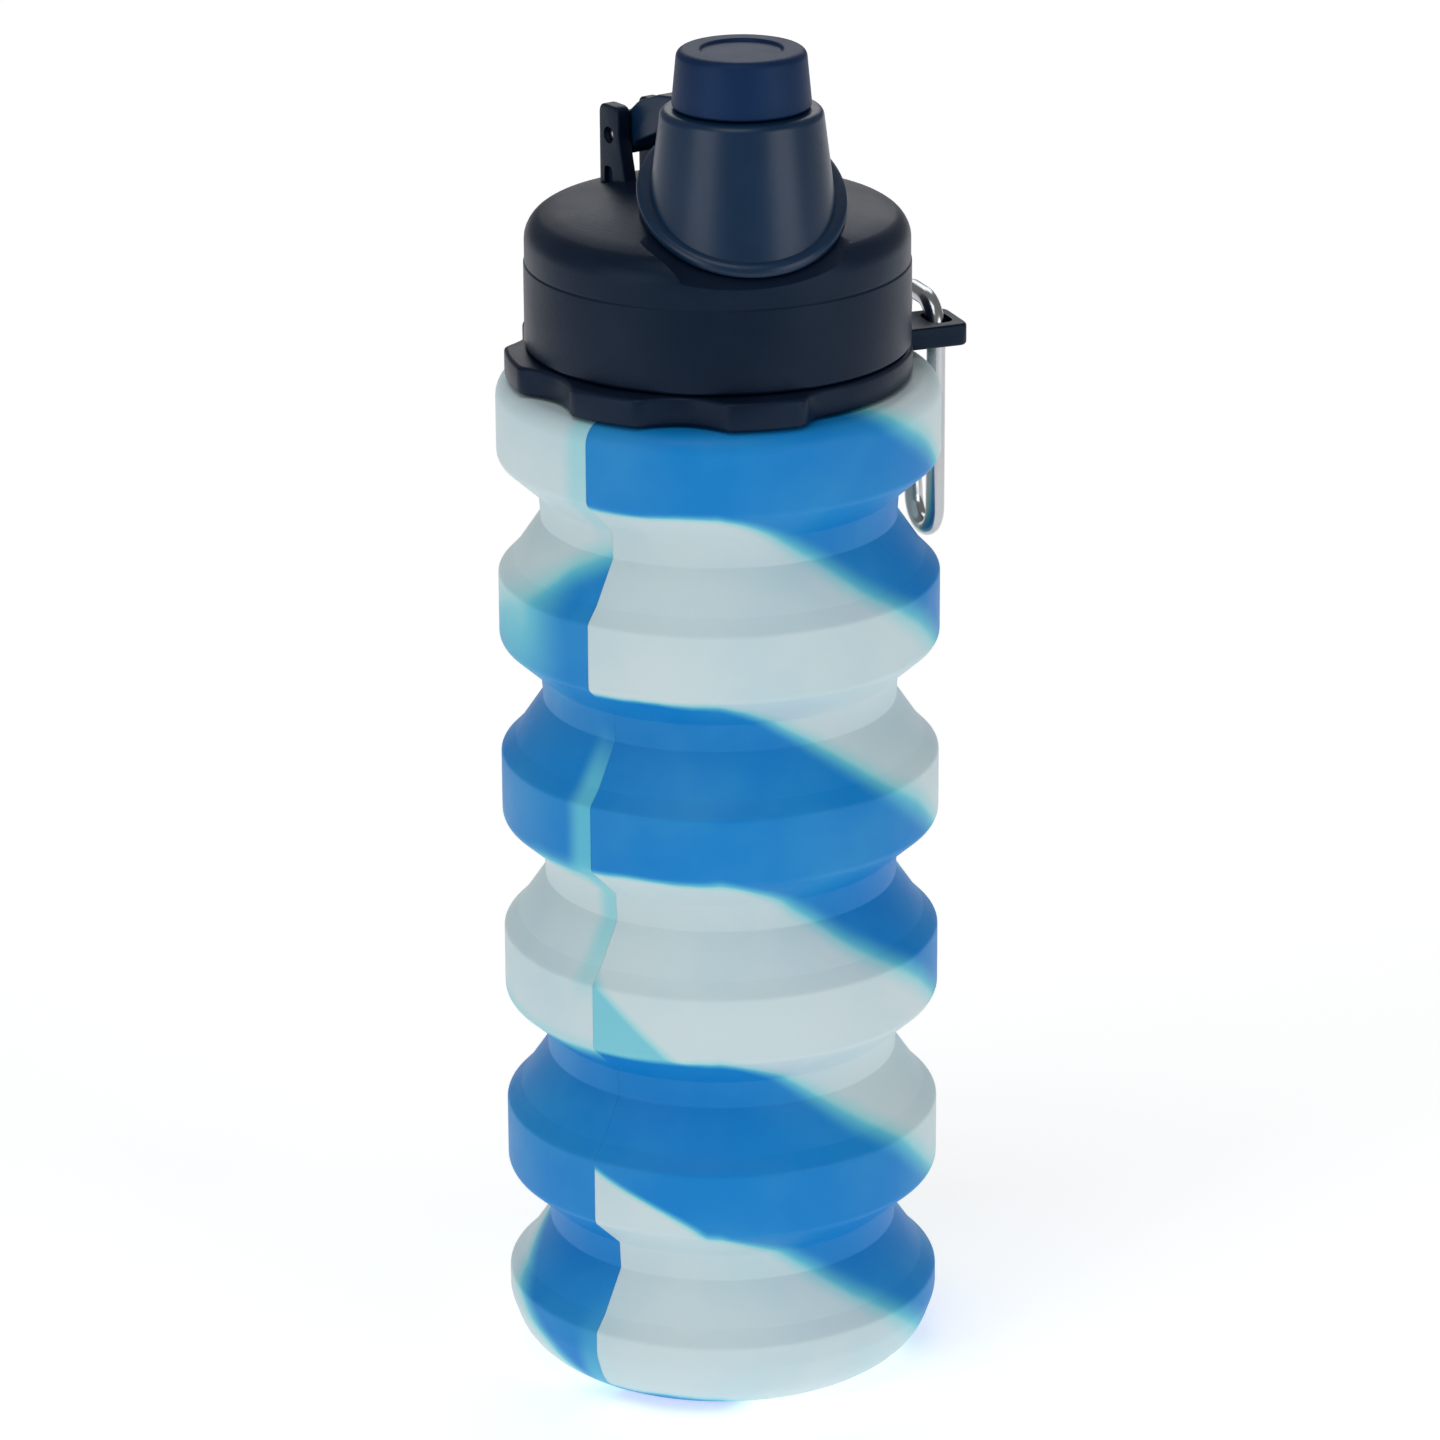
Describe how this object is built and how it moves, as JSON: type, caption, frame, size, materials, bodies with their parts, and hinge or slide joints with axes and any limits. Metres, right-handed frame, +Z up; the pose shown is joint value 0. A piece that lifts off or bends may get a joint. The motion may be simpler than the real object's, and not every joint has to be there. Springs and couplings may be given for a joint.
{
  "type": "folding water bottle",
  "caption": "Folding bottle with a silicone bellows body, threaded neck with scalloped collar and tab, screw lid, hinged spout cap and a snap hook.",
  "frame": {"origin": "centre of the flat base, on the surface the bottle stands on", "axes": "+Z up along the bottle's axis; -Y is the front, where the spout cap leans down; the tab with the snap hook is towards +X"},
  "size_m": [0.0743, 0.07, 0.2202],
  "materials": {
    "silicone": "matt two-colour silicone, swirled blue and white",
    "lid_plastic": "fine matt near-black navy",
    "cap_plastic": "semi-gloss deep blue",
    "knob_plastic": "soft matt blue",
    "seal_rubber": "clear grey silicone",
    "hook_metal": "polished",
    "pin_steel": "plain drawn wire"
  },
  "bodies": {
    "base": {"base_cup": "silicone", "fold_5": "silicone"},
    "ring_5": {"band_5": "silicone", "fold_4": "silicone"},
    "ring_4": {"band_4": "silicone", "fold_3": "silicone"},
    "ring_3": {"band_3": "silicone", "fold_2": "silicone"},
    "ring_2": {"band_2": "silicone", "fold_1": "silicone"},
    "neck": {"top_ring": "silicone", "neck_ring": "lid_plastic", "collar": "lid_plastic"},
    "lid_lift": {"lid_seal": "seal_rubber"},
    "lid": {"lid_shell": "lid_plastic", "drinking_spout": "seal_rubber", "hinge_pin": "pin_steel"},
    "cap": {"flip_cap": "cap_plastic", "cap_knob": "knob_plastic"},
    "hook": {"hook_body": "hook_metal", "gate_rivet": "pin_steel"},
    "gate": {"hook_gate": "hook_metal", "gate_spring": "pin_steel"}
  },
  "joints": [
    {"name": "fold_5_slide", "type": "slide", "parent": "base", "child": "ring_5", "axis": [0, 0, 1], "range_m": [-0.0142, 0], "deforming": ["fold_5"]},
    {"name": "fold_4_slide", "type": "slide", "parent": "ring_5", "child": "ring_4", "axis": [0, 0, 1], "range_m": [-0.0142, 0], "deforming": ["fold_4"]},
    {"name": "fold_3_slide", "type": "slide", "parent": "ring_4", "child": "ring_3", "axis": [0, 0, 1], "range_m": [-0.0142, 0], "deforming": ["fold_3"]},
    {"name": "fold_2_slide", "type": "slide", "parent": "ring_3", "child": "ring_2", "axis": [0, 0, 1], "range_m": [-0.0142, 0], "deforming": ["fold_2"]},
    {"name": "fold_1_slide", "type": "slide", "parent": "ring_2", "child": "neck", "axis": [0, 0, 1], "range_m": [-0.0142, 0], "deforming": ["fold_1"]},
    {"name": "lid_rise", "type": "slide", "parent": "neck", "child": "lid_lift", "axis": [0, 0, 1], "range_m": [0, 0.005]},
    {"name": "lid_turn", "type": "hinge", "parent": "lid_lift", "child": "lid", "pos_m": [0, 0, 0.18], "axis": [0, 0, 1], "range_deg": [0, 450]},
    {"name": "cap_flip", "type": "hinge", "parent": "lid", "child": "cap", "pos_m": [-0.0129, 0.012, 0.2012], "axis": [-0.8207, -0.5713, 0], "range_deg": [0, 150]},
    {"name": "hook_swing", "type": "hinge", "parent": "neck", "child": "hook", "pos_m": [0.03283, 0.01768, 0.1676], "axis": [0.9361, 0.3518, 0], "range_deg": [-20, 20]},
    {"name": "gate_swing", "type": "hinge", "parent": "hook", "child": "gate", "pos_m": [0.03121, 0.02199, 0.1428], "axis": [0.9361, 0.3518, 0], "range_deg": [0, 25], "stiffness_Nm_per_rad": 0.01, "springref_deg": -8.59}
  ],
  "couplings": [
    {"joint": "fold_4_slide", "follows": "fold_5_slide", "ratio": 1},
    {"joint": "fold_3_slide", "follows": "fold_5_slide", "ratio": 1},
    {"joint": "fold_2_slide", "follows": "fold_5_slide", "ratio": 1},
    {"joint": "fold_1_slide", "follows": "fold_5_slide", "ratio": 1},
    {"joint": "lid_turn", "follows": "lid_rise", "rad_per_m": 1570.8}
  ]
}
